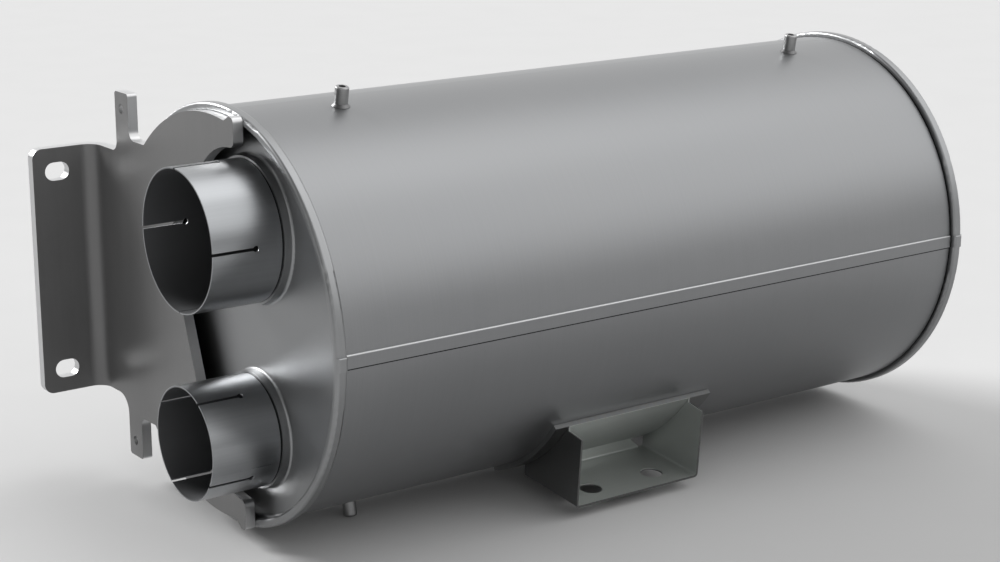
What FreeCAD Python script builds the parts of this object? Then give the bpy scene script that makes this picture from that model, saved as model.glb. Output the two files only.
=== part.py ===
import FreeCAD, Part
import math
import os

os.makedirs("parts", exist_ok=True)

doc = FreeCAD.newDocument("muffler")
sheet = doc.addObject("Spreadsheet::Sheet", "Sizes")

# Driving sizes in millimetres and degrees. The working axes are those of the drum:
# X runs along the drum's axis from the pipe end, Z is up and -Y is the open side of the saddle.
SIZES = (
    ("drum_length", "762.6", "rim front to rim front"),
    ("shell_radius", "191", "outside of the wrapped shell"),
    ("shell_sheet", "1", "shell sheet"),
    ("seat_gap", "0.1", "gap between sheets that seat on each other"),
    ("seam_width", "12.5", "lock seam along the shell"),
    ("seam_height", "1.4", "lock seam above the shell and above the rims"),
    ("seam_edge", "1.2", "rounding of the lock seam's upper edge"),
    ("seam_rise", "1.25", "lock seam centre above the axis plane"),
    ("cap_sheet", "2", "end cap sheet"),
    ("cap_recess", "12", "end disc behind the rim front"),
    ("cap_foot_radius", "3", "disc to rim wall, outside face"),
    ("rim_height", "5.3", "rolled rim above the shell"),
    ("rim_width", "11", "rolled rim along the shell"),
    ("rim_nose_radius", "3", "front corners of the rolled rim"),
    ("rim_tail_radius", "3", "rear corner of the rolled rim"),
    ("collar_tip", "3", "tip of a drawn collar behind the rim front"),
    ("collar_foot_radius", "2.5", "drawn collar to disc"),
    ("pipe_offset", "42.5", "both sockets from the drum's middle plane"),
    ("upper_inset", "102.5", "upper socket's axis below the shell's top"),
    ("lower_inset", "94", "lower socket's axis above the shell's bottom"),
    ("upper_bore", "127", "upper socket inside diameter"),
    ("lower_bore", "102", "lower socket inside diameter"),
    ("socket_wall", "1.5", "socket wall"),
    ("socket_reach", "66", "socket mouth in front of the rim"),
    ("socket_depth", "60", "socket end behind the rim front"),
    ("slit_width", "2.8", "clamping slit"),
    ("slit_length", "42", "mouth to the centre of the relief hole"),
    ("slit_hole", "5.6", "relief hole diameter"),
    ("lower_slit_turn", "32.5", "lower socket's slits about its axis"),
    ("plate_thickness", "10", "mounting plate"),
    ("plate_rise", "1.3", "mounting plate's own middle above the axis"),
    ("plate_inset", "3", "plate's outer arc inside the shell's outside"),
    ("plate_shoulder", "138.5", "shoulder between arc and tab"),
    ("plate_half_height", "123.5", "plate and flange above and below the plate's middle"),
    ("tab_setback", "88.5", "tab's inner side from the flange's outer face"),
    ("tab_width", "27", "tab width"),
    ("tab_top", "182.5", "tab end above and below the plate's middle"),
    ("tab_hole", "9", "tab hole diameter"),
    ("tab_hole_height", "166.4", "tab hole above and below the plate's middle"),
    ("tab_corner_radius", "3", "tab corners"),
    ("tab_inner_radius", "9", "tab to shoulder"),
    ("tab_upper_radius", "10", "upper tab to plate edge"),
    ("tab_lower_radius", "18", "lower tab to plate edge"),
    ("nose_step", "30.5", "start of the nose past the middle plane"),
    ("nose_slope", "8.5", "width of the nose's slope"),
    ("nose_end", "47.3", "end of the nose past the middle plane"),
    ("nose_rise", "2.3", "upper nose above the top of the outer arc"),
    ("tooth_drop", "5", "lower nose below the bottom of the outer arc"),
    ("nose_foot_radius", "4", "outer arc to the nose's slope"),
    ("nose_tip_radius", "5", "nose outer corner"),
    ("nose_root_radius", "7", "nose inner corner"),
    ("upper_cutout_gap", "9.5", "cut-out round the upper socket"),
    ("lower_cutout_gap", "14.5", "cut-out round the lower socket"),
    ("cutout_leave", "43", "angle where the cut-out leaves the upper arc"),
    ("cutout_slope", "20", "slanted edge from the vertical"),
    ("cutout_corner_radius", "40", "corner between the cut-out's straight edges"),
    ("bend_radius", "15", "inside of the flange bend"),
    ("flange_stand", "55", "flange outer face beyond the shell"),
    ("flange_reach", "75", "flange end in front of the rim"),
    ("flange_corner_radius", "10", "flange corners"),
    ("slot_setback", "50", "slot centres in front of the rim"),
    ("slot_spacing", "200", "slot to slot"),
    ("slot_length", "25", "slot end to end"),
    ("slot_width", "18", "slot width"),
    ("saddle_centre", "358.6", "saddle centre along the drum"),
    ("cradle_sheet", "5", "cradle sheet"),
    ("box_sheet", "2", "saddle box sheet"),
    ("saddle_tilt", "5.5", "saddle about the drum axis"),
    ("cradle_length", "192", "cradle along the drum"),
    ("cradle_start", "36.9", "cradle's front edge below the horizontal"),
    ("cradle_end", "72.9", "cradle's rear edge below the horizontal"),
    ("box_width", "151", "saddle box over its walls"),
    ("box_offset", "5.6", "saddle box from the saddle's centre, towards the pipe end"),
    ("box_front_inset", "3.2", "saddle box front inside the shell's side"),
    ("box_run", "83.3", "saddle box front to back"),
    ("box_lift", "14.3", "saddle floor above the shell's lowest line"),
    ("box_depth", "67.7", "side walls above the floor at their front"),
    ("box_bend_radius", "2", "inside of the box's bends"),
    ("box_step_run", "20.6", "step in the side walls' top edges behind their front"),
    ("box_step_rise", "2", "side wall top at the step above its front"),
    ("box_back_width", "131", "back wall along the floor"),
    ("box_back_slant", "10", "back wall shorter at its top, each side"),
    ("base_hole", "22", "saddle floor hole diameter"),
    ("base_hole_spacing", "76", "saddle floor hole to hole"),
    ("base_hole_setback", "26", "saddle floor holes behind the box front"),
    ("boss_diameter", "13", "threaded boss"),
    ("boss_height", "18.5", "threaded boss above the shell"),
    ("boss_hole", "6.6", "threaded hole, core diameter"),
    ("boss_hole_depth", "14", "threaded hole depth"),
    ("boss_edge_radius", "1.6", "boss rim rounding"),
    ("boss_foot", "2.5", "boss foot, out from the boss and up"),
    ("boss_angle", "10", "bosses off the vertical, towards the open side"),
    ("boss_near", "109", "near bosses behind the rim front"),
    ("boss_far_inset", "100.6", "far boss before the far rim front"),
    ("mat_thickness", "6", "insulation between shell and liner"),
    ("liner_sheet", "1", "liner sheet"),
    ("liner_inset", "16", "liner and insulation end behind the rim front"),
    ("baffle_sheet", "1.5", "baffle sheet"),
    ("baffle_flange", "14", "baffle rim flange"),
    ("baffle_bend_radius", "4", "inside of the baffle's rim bend"),
    ("baffle_near_place", "140", "near baffle behind the rim front"),
    ("baffle_mid_place", "330", "middle baffle behind the rim front"),
    ("baffle_far_inset", "202.6", "far baffle before the far rim front"),
    ("baffle_vent", "36", "far baffle's vent diameter"),
    ("baffle_vent_pitch", "84", "far baffle's vent rows"),
    ("brick_diameter", "143.8", "ceramic monolith"),
    ("brick_length", "152.4", "ceramic monolith"),
    ("brick_mat", "3.5", "support mat"),
    ("can_wall", "1.5", "catalyst can wall"),
    ("can_overhang", "12", "can past each baffle"),
    ("can_clearance", "5.2", "cans inside the baffles' edge"),
    ("left_can_angle", "26.5", "left can about the drum axis"),
    ("right_can_angle", "133", "right can about the drum axis"),
    ("outlet_wall", "1.5", "outlet tube wall"),
    ("outlet_start", "20", "outlet tube start behind the rim front"),
    ("outlet_stop", "70", "outlet tube end before the far rim front"),
    ("outlet_slot_length", "34", "outlet tube's gas slots, along it"),
    ("outlet_slot_width", "16", "outlet tube's gas slots, across"),
    ("outlet_slot_pitch", "50", "outlet tube's gas slots, row to row"),
)
for row, (alias, value, note) in enumerate(SIZES, start=1):
    sheet.set("A%d" % row, alias)
    sheet.set("B%d" % row, value)
    sheet.set("C%d" % row, note)
    sheet.setAlias("B%d" % row, alias)
doc.recompute()


def size(alias):
    return float(sheet.get(alias))


# Sizes that follow from the driving ones.
LENGTH = size("drum_length")
GAP = size("seat_gap")
SHELL_OUT = size("shell_radius")
SHELL_IN = SHELL_OUT - size("shell_sheet")
RIM_OUT = SHELL_OUT + size("rim_height")
CAP = size("cap_sheet")
UPPER_OUT = size("upper_bore") / 2 + size("socket_wall")
LOWER_OUT = size("lower_bore") / 2 + size("socket_wall")
PIPE_Y = -size("pipe_offset")
UPPER_Z = SHELL_OUT - size("upper_inset")
LOWER_Z = size("lower_inset") - SHELL_OUT
PLATE = SHELL_OUT - size("plate_inset")
FLANGE = SHELL_OUT + size("flange_stand")
TAB_IN = FLANGE - size("tab_setback")
MAT_OUT = SHELL_IN - GAP
MAT_IN = MAT_OUT - size("mat_thickness")
LINER_OUT = MAT_IN - GAP
LINER_IN = LINER_OUT - size("liner_sheet")
BAFFLE_OUT = LINER_IN - GAP
BRICK = size("brick_diameter") / 2
CAN_IN = BRICK + size("brick_mat")
CAN_OUT = CAN_IN + size("can_wall")
CAN_PLACE = BAFFLE_OUT - CAN_OUT - size("can_clearance")
OUTLET_IN = LOWER_OUT + GAP
OUTLET_OUT = OUTLET_IN + size("outlet_wall")
CRADLE_IN = SHELL_OUT + GAP
CRADLE_OUT = CRADLE_IN + size("cradle_sheet")

# The row's origin is the middle of the flange's slot pattern, on the flange's outer face.
ORIGIN_X = "Sizes.slot_setback"
ORIGIN_Y = "-(Sizes.shell_radius + Sizes.flange_stand)"
ORIGIN_Z = "-Sizes.plate_rise"

bodies = []


def new_body(name, along="0", across="0", up="0", turn=0.0):
    """A body whose own axes stand at a place on the drum, turned about X."""
    body = doc.addObject("PartDesign::Body", name)
    body.Label = name
    rotation = FreeCAD.Rotation(FreeCAD.Vector(1, 0, 0), turn)
    body.Placement = FreeCAD.Placement(FreeCAD.Vector(0, 0, 0), rotation)
    body.setExpression("Placement.Base.x", "%s + %s" % (ORIGIN_X, along))
    body.setExpression("Placement.Base.y", "%s + %s" % (ORIGIN_Y, across))
    body.setExpression("Placement.Base.z", "%s + %s" % (ORIGIN_Z, up))
    bodies.append(body)
    return body


def new_sketch(body, name, plane, shift=(0, 0, 0)):
    """A sketch on one of the body's planes; shift is in the sketch's own axes."""
    sketch = body.newObject("Sketcher::SketchObject", name)
    for item in body.Origin.OriginFeatures:
        if item.Role == plane:
            sketch.AttachmentSupport = [(item, "")]
    sketch.MapMode = "FlatFace"
    sketch.AttachmentOffset = FreeCAD.Placement(FreeCAD.Vector(*shift), FreeCAD.Rotation())
    return sketch


def point(u, v):
    return FreeCAD.Vector(u, v, 0)


def draw_line(sketch, start, end):
    sketch.addGeometry(Part.LineSegment(point(*start), point(*end)), False)


def draw_arc(sketch, centre, radius, first, last):
    """An arc counter-clockwise from the first to the last angle in degrees."""
    circle = Part.Circle(point(*centre), FreeCAD.Vector(0, 0, 1), radius)
    arc = Part.ArcOfCircle(circle, math.radians(first), math.radians(last))
    sketch.addGeometry(arc, False)


def draw_circle(sketch, centre, radius):
    sketch.addGeometry(Part.Circle(point(*centre), FreeCAD.Vector(0, 0, 1), radius), False)


def draw_outline(sketch, corners):
    """A closed outline through (u, v, radius) corners, each rounded by its radius."""
    ends = []
    count = len(corners)
    for index, (u, v, radius) in enumerate(corners):
        here = point(u, v)
        if radius == 0:
            ends.append((here, here))
            continue
        before = point(*corners[index - 1][:2]) - here
        after = point(*corners[(index + 1) % count][:2]) - here
        half = before.getAngle(after) / 2
        run = radius / math.tan(half)
        enter = here + before.normalize() * run
        leave = here + after.normalize() * run
        middle = before + after
        middle = here + middle.normalize() * (radius / math.sin(half) - radius)
        sketch.addGeometry(Part.Arc(enter, middle, leave), False)
        ends.append((enter, leave))
    for index in range(count):
        start = ends[index][1]
        end = ends[(index + 1) % count][0]
        if (end - start).Length > 1e-6:
            sketch.addGeometry(Part.LineSegment(start, end), False)


def pad(body, sketch, length, both_ways=False):
    feature = body.newObject("PartDesign::Pad", sketch.Name + "_pad")
    feature.Profile = sketch
    feature.setExpression("Length", length)
    feature.Midplane = both_ways
    sketch.Visibility = False
    doc.recompute()
    return feature


def cut_through(body, sketch):
    """A pocket through everything on both sides of the sketch."""
    before = body.Shape.Volume
    feature = body.newObject("PartDesign::Pocket", sketch.Name + "_cut")
    feature.Profile = sketch
    feature.Type = "ThroughAll"
    feature.Midplane = True
    sketch.Visibility = False
    doc.recompute()
    if body.Shape.Volume > before - 1:
        raise RuntimeError(feature.Name + " cuts nothing")
    return feature


def revolve(body, sketch):
    """A full turn about the sketch's own horizontal axis."""
    feature = body.newObject("PartDesign::Revolution", sketch.Name + "_turn")
    feature.Profile = sketch
    feature.ReferenceAxis = (sketch, ["H_Axis"])
    feature.Angle = 360
    sketch.Visibility = False
    doc.recompute()
    return feature


def groove(body, sketch):
    """A full turn about the sketch's own horizontal axis, taken away."""
    before = body.Shape.Volume
    feature = body.newObject("PartDesign::Groove", sketch.Name + "_groove")
    feature.Profile = sketch
    feature.ReferenceAxis = (sketch, ["H_Axis"])
    feature.Angle = 360
    sketch.Visibility = False
    doc.recompute()
    if body.Shape.Volume > before - 1:
        raise RuntimeError(feature.Name + " cuts nothing")
    return feature


def polar(body, feature, count, angle):
    pattern = body.newObject("PartDesign::PolarPattern", feature.Name + "_pattern")
    pattern.Originals = [feature]
    for item in body.Origin.OriginFeatures:
        if item.Role == "X_Axis":
            pattern.Axis = (item, [""])
    pattern.Angle = angle
    pattern.Occurrences = count
    body.Tip = pattern
    doc.recompute()
    return pattern


def round_edges(body, name, places, radius, axis):
    """A fillet on the edges that run along an axis through the given places."""
    base = body.Tip
    names = []
    for index, edge in enumerate(base.Shape.Edges, start=1):
        if edge.Curve.TypeId != "Part::GeomLine":
            continue
        start = edge.Vertexes[0].Point
        end = edge.Vertexes[-1].Point
        if abs((end - start).normalize().dot(axis)) < 0.999:
            continue
        for place in places:
            offset = start - place
            if (offset - axis * offset.dot(axis)).Length < 0.01:
                names.append("Edge%d" % index)
    if len(names) != len(places):
        raise RuntimeError("%s finds %d of %d edges" % (name, len(names), len(places)))
    feature = body.newObject("PartDesign::Fillet", name)
    feature.Base = (base, names)
    feature.setExpression("Radius", radius)
    doc.recompute()
    return feature


def make_shell():
    """The wrapped shell, its ends hemmed outwards into the rims, with the lock seam."""
    body = new_body("shell_wrap")
    sheet_t = size("shell_sheet")
    front = CAP + GAP
    hem_out = RIM_OUT - CAP - GAP
    hem_end = size("rim_width") - CAP + GAP
    corners = [
        (front, SHELL_IN, 0),
        (LENGTH - front, SHELL_IN, 0),
        (LENGTH - front, hem_out, 0),
        (LENGTH - hem_end, hem_out, 0),
        (LENGTH - hem_end, hem_out - sheet_t, 0),
        (LENGTH - front - sheet_t, hem_out - sheet_t, 0),
        (LENGTH - front - sheet_t, SHELL_OUT, 0),
        (front + sheet_t, SHELL_OUT, 0),
        (front + sheet_t, hem_out - sheet_t, 0),
        (hem_end, hem_out - sheet_t, 0),
        (hem_end, hem_out, 0),
        (front, hem_out, 0),
    ]
    section = new_sketch(body, "shell_section", "XZ_Plane")
    draw_outline(section, corners)
    revolve(body, section)
    start = size("rim_width") + GAP
    strip = new_sketch(body, "shell_seam", "YZ_Plane", (0, 0, start))
    draw_seam(strip, SHELL_OUT, 0.6 * sheet_t)
    pad(body, strip, "Sizes.drum_length - 2 * (Sizes.rim_width + Sizes.seat_gap)")


def draw_seam(sketch, radius, sunk):
    """The seam's section on the open side of a cylinder, sunk into its sheet."""
    low = size("seam_rise") - size("seam_width") / 2
    high = size("seam_rise") + size("seam_width") / 2
    outer = -(radius + size("seam_height"))
    inner = -(radius - sunk)
    corners = [(outer, low, 0), (inner, low, 0), (inner, high, 0)]
    draw_outline(sketch, corners + [(outer, high, size("seam_edge"))])


def add_rim_seam(body, name, far):
    """The bump that the seam makes in a rolled rim, its ends as round as the rim's."""
    lip = size("rim_width")
    sunk = CAP - GAP
    low = RIM_OUT - sunk
    high = RIM_OUT + size("seam_height")
    strip = new_sketch(body, name, "YZ_Plane", (0, 0, LENGTH - lip if far else 0))
    draw_seam(strip, RIM_OUT, sunk)
    pad(body, strip, "Sizes.rim_width")
    nose = min(size("rim_nose_radius"), high - low - GAP)
    tail = min(size("rim_tail_radius"), high - low - GAP)
    corners = [
        (-1, low, 0),
        (0, low, 0),
        (0, high, nose),
        (lip, high, tail),
        (lip, low, 0),
        (lip + 1, low, 0),
        (lip + 1, high + 1, 0),
        (-1, high + 1, 0),
    ]
    if far:
        corners = [(LENGTH - along, radius, turn) for along, radius, turn in corners]
    ends = new_sketch(body, name + "_ends", "XY_Plane")
    draw_outline(ends, [(along, -radius, turn) for along, radius, turn in corners])
    cut_through(body, ends)


def cap_section(sketch, near):
    """Disc, formed foot, rolled rim and the lip behind the shell's hem."""
    recess = size("cap_recess")
    foot = size("cap_foot_radius")
    nose = size("rim_nose_radius")
    wall = SHELL_IN - GAP
    lip = size("rim_width")
    lip_in = SHELL_OUT + GAP
    corners = [
        (recess, 0, 0),
        (recess, wall - CAP, foot),
        (0, wall - CAP, nose),
        (0, RIM_OUT, nose),
        (lip, RIM_OUT, size("rim_tail_radius")),
        (lip, lip_in, 0),
        (lip - CAP + 2 * GAP, lip_in, 0),
        (lip - CAP + 2 * GAP, RIM_OUT - CAP, 0),
        (CAP, RIM_OUT - CAP, 0),
        (CAP, wall, 0),
        (recess + CAP, wall, foot + CAP),
        (recess + CAP, 0, 0),
    ]
    if not near:
        corners = [(LENGTH - along, radius, turn) for along, radius, turn in corners]
    draw_outline(sketch, corners)


def make_near_cap():
    """The end cap that carries both sockets in collars drawn out of its disc."""
    body = new_body("near_end_cap")
    section = new_sketch(body, "near_cap_section", "XZ_Plane")
    cap_section(section, True)
    revolve(body, section)
    add_rim_seam(body, "near_cap_seam", False)
    foot = size("collar_foot_radius")
    holes = new_sketch(body, "near_cap_holes", "YZ_Plane")
    for height, radius in ((UPPER_Z, UPPER_OUT), (LOWER_Z, LOWER_OUT)):
        draw_circle(holes, (PIPE_Y, height), radius + GAP + CAP + foot)
    cut_through(body, holes)
    recess = size("cap_recess")
    for name, height, radius in (("upper", UPPER_Z, UPPER_OUT), ("lower", LOWER_Z, LOWER_OUT)):
        inner = radius + GAP
        outer = inner + CAP
        reach = outer + foot + CAP
        tip = size("collar_tip")
        collar = new_sketch(body, name + "_collar", "XZ_Plane", (0, height, -PIPE_Y))
        corners = [
            (tip, inner, 0),
            (tip, outer, 0),
            (recess, outer, foot),
            (recess, reach, 0),
            (recess + CAP, reach, 0),
            (recess + CAP, inner, foot + CAP),
        ]
        draw_outline(collar, corners)
        revolve(body, collar)


def make_far_cap():
    body = new_body("far_end_cap")
    section = new_sketch(body, "far_cap_section", "XZ_Plane")
    cap_section(section, False)
    revolve(body, section)
    add_rim_seam(body, "far_cap_seam", True)


def make_socket(name, up, outer, turn):
    """A socket tube with four clamping slits that end in relief holes."""
    body = new_body(name, "0", "-Sizes.pipe_offset", up, turn)
    reach = size("socket_reach")
    wall = size("socket_wall")
    section = new_sketch(body, name + "_ring", "YZ_Plane", (0, 0, -reach))
    draw_circle(section, (0, 0), outer)
    draw_circle(section, (0, 0), outer - wall)
    pad(body, section, "Sizes.socket_reach + Sizes.socket_depth")
    slit = new_sketch(body, name + "_slit", "XZ_Plane")
    half = size("slit_width") / 2
    hole = size("slit_hole") / 2
    centre = size("slit_length") - reach
    neck = math.degrees(math.asin(half / hole))
    neck_x = centre - math.sqrt(hole * hole - half * half)
    draw_line(slit, (neck_x, half), (-reach - 1, half))
    draw_line(slit, (-reach - 1, half), (-reach - 1, -half))
    draw_line(slit, (-reach - 1, -half), (neck_x, -half))
    draw_arc(slit, (centre, 0), hole, neck - 180, 180 - neck)
    polar(body, cut_through(body, slit), 2, 90)


def plate_frame():
    """The plate's leading points, as (across, up) pairs from its own middle."""
    arc = PLATE
    shoulder = size("plate_shoulder")
    upper_cut = UPPER_OUT + size("upper_cutout_gap")
    lower_cut = LOWER_OUT + size("lower_cutout_gap")
    upper = UPPER_Z
    lower = LOWER_Z
    nose_end = -size("nose_end")
    step = -size("nose_step")
    leave = math.radians(size("cutout_leave"))
    slope = math.radians(size("cutout_slope"))
    reach = nose_end - PIPE_Y
    start = (PIPE_Y + upper_cut * math.cos(leave), upper + upper_cut * math.sin(leave))
    touch = (PIPE_Y + lower_cut * math.cos(slope), lower - lower_cut * math.sin(slope))
    down = (math.sin(leave), -math.cos(leave))
    rise = (math.sin(slope), math.cos(slope))
    gap = (touch[0] - start[0], touch[1] - start[1])
    along = (gap[0] * rise[1] - gap[1] * rise[0]) / (down[0] * rise[1] - down[1] * rise[0])
    return {
        "shoulder_meet": (math.sqrt(arc * arc - shoulder * shoulder), shoulder),
        "step_foot": (step, math.sqrt(arc * arc - step * step)),
        "nose_root_upper": (nose_end, upper + math.sqrt(upper_cut ** 2 - reach ** 2)),
        "nose_root_lower": (nose_end, lower - math.sqrt(lower_cut ** 2 - reach ** 2)),
        "leave": start,
        "upper": upper,
        "lower": lower,
        "corner": (start[0] + along * down[0], start[1] + along * down[1]),
        "touch": touch,
        "upper_cut": upper_cut,
        "lower_cut": lower_cut,
    }


def draw_plate(sketch):
    """The flat outline: tabs, outer arcs, nose, cut-out round both sockets, tooth."""
    key = plate_frame()
    half = size("plate_half_height")
    bend = FLANGE - size("plate_thickness") - size("bend_radius")
    tab_out = TAB_IN + size("tab_width")
    top = size("tab_top")
    shoulder = size("plate_shoulder")
    nose_top = PLATE + size("nose_rise")
    slope_end = -size("nose_step") - size("nose_slope")
    nose_end = -size("nose_end")
    meet = key["shoulder_meet"]
    foot = key["step_foot"]
    first = [(bend, -half), (bend, half), (tab_out, half), (tab_out, top)]
    first += [(TAB_IN, top), (TAB_IN, shoulder), meet]
    for start, end in zip(first, first[1:]):
        draw_line(sketch, start, end)
    meet_angle = math.degrees(math.atan2(meet[1], meet[0]))
    foot_angle = math.degrees(math.atan2(foot[1], foot[0]))
    draw_arc(sketch, (0, 0), PLATE, meet_angle, foot_angle)
    nose = [foot, (slope_end, nose_top), (nose_end, nose_top), key["nose_root_upper"]]
    for start, end in zip(nose, nose[1:]):
        draw_line(sketch, start, end)
    root = key["nose_root_upper"]
    root_angle = math.degrees(math.atan2(root[1] - key["upper"], root[0] - PIPE_Y))
    centre = (PIPE_Y, key["upper"])
    draw_arc(sketch, centre, key["upper_cut"], size("cutout_leave"), root_angle)
    draw_line(sketch, key["leave"], key["corner"])
    draw_line(sketch, key["corner"], key["touch"])
    root = key["nose_root_lower"]
    root_angle = math.degrees(math.atan2(root[1] - key["lower"], root[0] - PIPE_Y))
    centre = (PIPE_Y, key["lower"])
    draw_arc(sketch, centre, key["lower_cut"], root_angle, -size("cutout_slope"))
    depth = PLATE + size("tooth_drop")
    tooth = [root, (nose_end, -depth), (slope_end, -depth), (foot[0], -foot[1])]
    for start, end in zip(tooth, tooth[1:]):
        draw_line(sketch, start, end)
    draw_arc(sketch, (0, 0), PLATE, -foot_angle, -meet_angle)
    last = [(meet[0], -meet[1]), (TAB_IN, -shoulder), (TAB_IN, -top)]
    last += [(tab_out, -top), (tab_out, -half), (bend, -half)]
    for start, end in zip(last, last[1:]):
        draw_line(sketch, start, end)


def make_plate():
    """The bent mounting plate on the rim's front: one piece of thick sheet."""
    body = new_body("mounting_plate", up="Sizes.plate_rise")
    thick = size("plate_thickness")
    outline = new_sketch(body, "plate_outline", "YZ_Plane", (0, 0, -thick))
    draw_plate(outline)
    pad(body, outline, "Sizes.plate_thickness")
    inner = size("bend_radius")
    face = FLANGE
    bend = face - thick - inner
    reach = size("flange_reach")
    corners = [
        (0, bend, 0),
        (0, face, inner + thick),
        (-reach, face, 0),
        (-reach, face - thick, 0),
        (-thick, face - thick, inner),
        (-thick, bend, 0),
    ]
    flange = new_sketch(body, "plate_flange", "XY_Plane")
    draw_outline(flange, corners)
    pad(body, flange, "2 * Sizes.plate_half_height", True)
    axis = FreeCAD.Vector(1, 0, 0)
    key = plate_frame()
    tab_out = TAB_IN + size("tab_width")
    half = size("plate_half_height")
    top = size("tab_top")
    shoulder = size("plate_shoulder")
    nose_end = -size("nose_end")
    nose_top = PLATE + size("nose_rise")
    depth = PLATE + size("tooth_drop")
    foot = key["step_foot"]
    groups = (
        ("tab_corners", [(TAB_IN, top), (tab_out, top), (TAB_IN, -top), (tab_out, -top)],
         "Sizes.tab_corner_radius"),
        ("tab_inner_corners", [(TAB_IN, shoulder), (TAB_IN, -shoulder)], "Sizes.tab_inner_radius"),
        ("tab_upper_corner", [(tab_out, half)], "Sizes.tab_upper_radius"),
        ("tab_lower_corner", [(tab_out, -half)], "Sizes.tab_lower_radius"),
        ("nose_feet", [foot, (foot[0], -foot[1])], "Sizes.nose_foot_radius"),
        ("nose_tips", [(nose_end, nose_top), (nose_end, -depth)], "Sizes.nose_tip_radius"),
        ("nose_roots", [key["nose_root_upper"], key["nose_root_lower"]], "Sizes.nose_root_radius"),
        ("cutout_corner", [key["corner"]], "Sizes.cutout_corner_radius"),
    )
    for name, places, radius in groups:
        points = [FreeCAD.Vector(0, across, up) for across, up in places]
        round_edges(body, name, points, radius, axis)
    ends = [FreeCAD.Vector(-reach, 0, half), FreeCAD.Vector(-reach, 0, -half)]
    round_edges(body, "flange_corners", ends, "Sizes.flange_corner_radius", FreeCAD.Vector(0, 1, 0))
    holes = new_sketch(body, "tab_holes", "YZ_Plane")
    for height in (size("tab_hole_height"), -size("tab_hole_height")):
        draw_circle(holes, ((TAB_IN + tab_out) / 2 + 1, height), size("tab_hole") / 2)
    cut_through(body, holes)
    slots = new_sketch(body, "flange_slots", "XZ_Plane")
    run = (size("slot_length") - size("slot_width")) / 2
    radius = size("slot_width") / 2
    middle = -size("slot_setback")
    for height in (size("slot_spacing") / 2, -size("slot_spacing") / 2):
        draw_line(slots, (middle - run, height + radius), (middle + run, height + radius))
        draw_arc(slots, (middle + run, height), radius, -90, 90)
        draw_line(slots, (middle + run, height - radius), (middle - run, height - radius))
        draw_arc(slots, (middle - run, height), radius, 90, 270)
    cut_through(body, slots)


def make_cradle():
    """The curved sheet that spreads the saddle's load on the shell."""
    body = new_body("saddle_cradle", "Sizes.saddle_centre")
    first = 180 + size("cradle_start")
    last = 180 + size("cradle_end")
    start = -size("cradle_length") / 2
    section = new_sketch(body, "cradle_section", "YZ_Plane", (0, 0, start))
    draw_arc(section, (0, 0), CRADLE_IN, first, last)
    draw_arc(section, (0, 0), CRADLE_OUT, first, last)
    for angle in (first, last):
        turn = math.radians(angle)
        inner = (CRADLE_IN * math.cos(turn), CRADLE_IN * math.sin(turn))
        outer = (CRADLE_OUT * math.cos(turn), CRADLE_OUT * math.sin(turn))
        draw_line(section, inner, outer)
    pad(body, section, "Sizes.cradle_length")


def make_saddle_box():
    """The bent box under the cradle: floor, two side walls and a back wall."""
    along = "Sizes.saddle_centre - Sizes.box_offset"
    body = new_body("saddle_box", along, "0", "0", size("saddle_tilt"))
    sheet_t = size("box_sheet")
    bend = size("box_bend_radius")
    half = size("box_width") / 2
    floor = size("box_lift") - SHELL_OUT
    top = floor + size("box_depth")
    front = SHELL_OUT - size("box_front_inset")
    back = front - size("box_run")
    brow = -math.sqrt((CRADLE_OUT + GAP) ** 2 - back ** 2)
    high = floor / 3
    trough = new_sketch(body, "box_trough", "XZ_Plane", (0, 0, back))
    corners = [
        (-half, high, 0),
        (-half, floor - sheet_t, bend + sheet_t),
        (half, floor - sheet_t, bend + sheet_t),
        (half, high, 0),
        (half - sheet_t, high, 0),
        (half - sheet_t, floor, bend),
        (-half + sheet_t, floor, bend),
        (-half + sheet_t, high, 0),
    ]
    draw_outline(trough, corners)
    pad(body, trough, "Sizes.box_run")
    wide = size("box_back_width") / 2
    reliefs = new_sketch(body, "box_reliefs", "XY_Plane")
    inner = back + sheet_t
    corners = [(-wide - sheet_t, -inner - bend), (wide + sheet_t, -inner - bend)]
    corners += [(wide + sheet_t, -back + sheet_t), (-wide - sheet_t, -back + sheet_t)]
    draw_outline(reliefs, [(along, across, 0) for along, across in corners])
    cut_through(body, reliefs)
    rear = new_sketch(body, "box_back_wall", "YZ_Plane")
    overlap = inner + 2 * (bend + sheet_t)
    corners = [
        (-overlap, floor, 0),
        (-inner, floor, bend),
        (-inner, brow + sheet_t, 0),
        (-back, brow + sheet_t, 0),
        (-back, floor - sheet_t, bend + sheet_t),
        (-overlap, floor - sheet_t, 0),
    ]
    draw_outline(rear, corners)
    pad(body, rear, "Sizes.box_back_width", True)
    slants = new_sketch(body, "box_back_slants", "XZ_Plane")
    tip = wide - size("box_back_slant")
    for side in (-1, 1):
        corners = [(wide, floor + bend), (wide + 1, floor + bend), (wide + 1, brow + 3 * sheet_t)]
        corners += [(tip, brow + 3 * sheet_t), (tip, brow)]
        draw_outline(slants, [(side * along, up, 0) for along, up in corners])
    cut_through(body, slants)
    tops = new_sketch(body, "box_wall_tops", "YZ_Plane")
    step = front - size("box_step_run")
    corners = [(-front - 1, top), (-step, top + size("box_step_rise"))]
    corners += [(-step, high + 1), (-front - 1, high + 1)]
    draw_outline(tops, [(across, up, 0) for across, up in corners])
    cut_through(body, tops)
    seat = new_sketch(body, "box_seat", "XZ_Plane")
    reach = size("box_width")
    hollow = CRADLE_OUT + GAP
    draw_outline(seat, [(-reach, 0, 0), (reach, 0, 0), (reach, hollow, 0), (-reach, hollow, 0)])
    groove(body, seat)
    holes = new_sketch(body, "box_holes", "XY_Plane")
    for side in (-1, 1):
        place = (side * size("base_hole_spacing") / 2, size("base_hole_setback") - front)
        draw_circle(holes, place, size("base_hole") / 2)
    cut_through(body, holes)


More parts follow.
